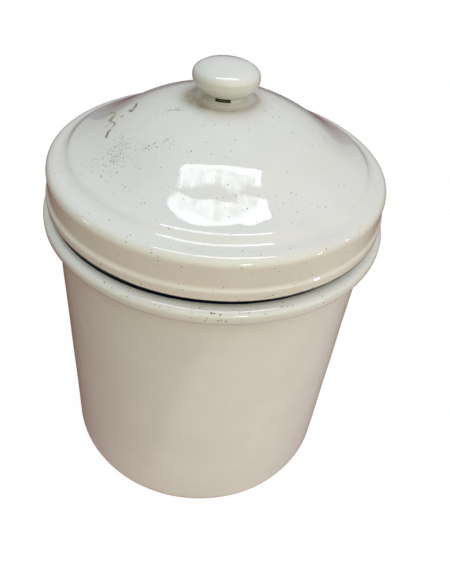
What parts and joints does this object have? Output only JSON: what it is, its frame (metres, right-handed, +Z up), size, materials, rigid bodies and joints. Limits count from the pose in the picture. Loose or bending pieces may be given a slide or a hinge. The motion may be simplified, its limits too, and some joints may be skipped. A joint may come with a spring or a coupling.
{
  "type": "food canister",
  "caption": "Round enamelled sheet-steel food canister with a stop bead, a domed lift-off lid with a folded hem, and a riveted hollow knob.",
  "frame": {"origin": "centre of the base, on the plane of the flat standing ring", "axes": "+Z up along the vessel's axis of revolution; -Y is the side with the knob's vent slot"},
  "size_m": [0.1968, 0.1968, 0.2717],
  "materials": {
    "vessel_enamel": "glossy off-white vitreous enamel, slightly warm, worn",
    "lid_enamel": "glossy off-white vitreous enamel with pinholes and small chips",
    "knob_enamel": "glossy off-white vitreous enamel",
    "steel_wire": "drawn steel wire, hidden",
    "steel_fixing": "dull steel"
  },
  "bodies": {
    "canister": {"body_shell": "vessel_enamel", "mouth_rim_wire": "steel_wire"},
    "lid_axis": {"knob_rivet": "steel_fixing"},
    "lid": {"lid_shell": "lid_enamel", "knob_cap": "knob_enamel", "knob_foot": "knob_enamel", "knob_washer": "steel_fixing"}
  },
  "joints": [
    {"name": "lid_lift", "type": "slide", "parent": "canister", "child": "lid_axis", "axis": [0, 0, 1], "range_m": [0, 0.12]},
    {"name": "lid_turn", "type": "hinge", "parent": "lid_axis", "child": "lid", "pos_m": [0, 0, 0.25], "axis": [0, 0, 1], "continuous": true}
  ]
}
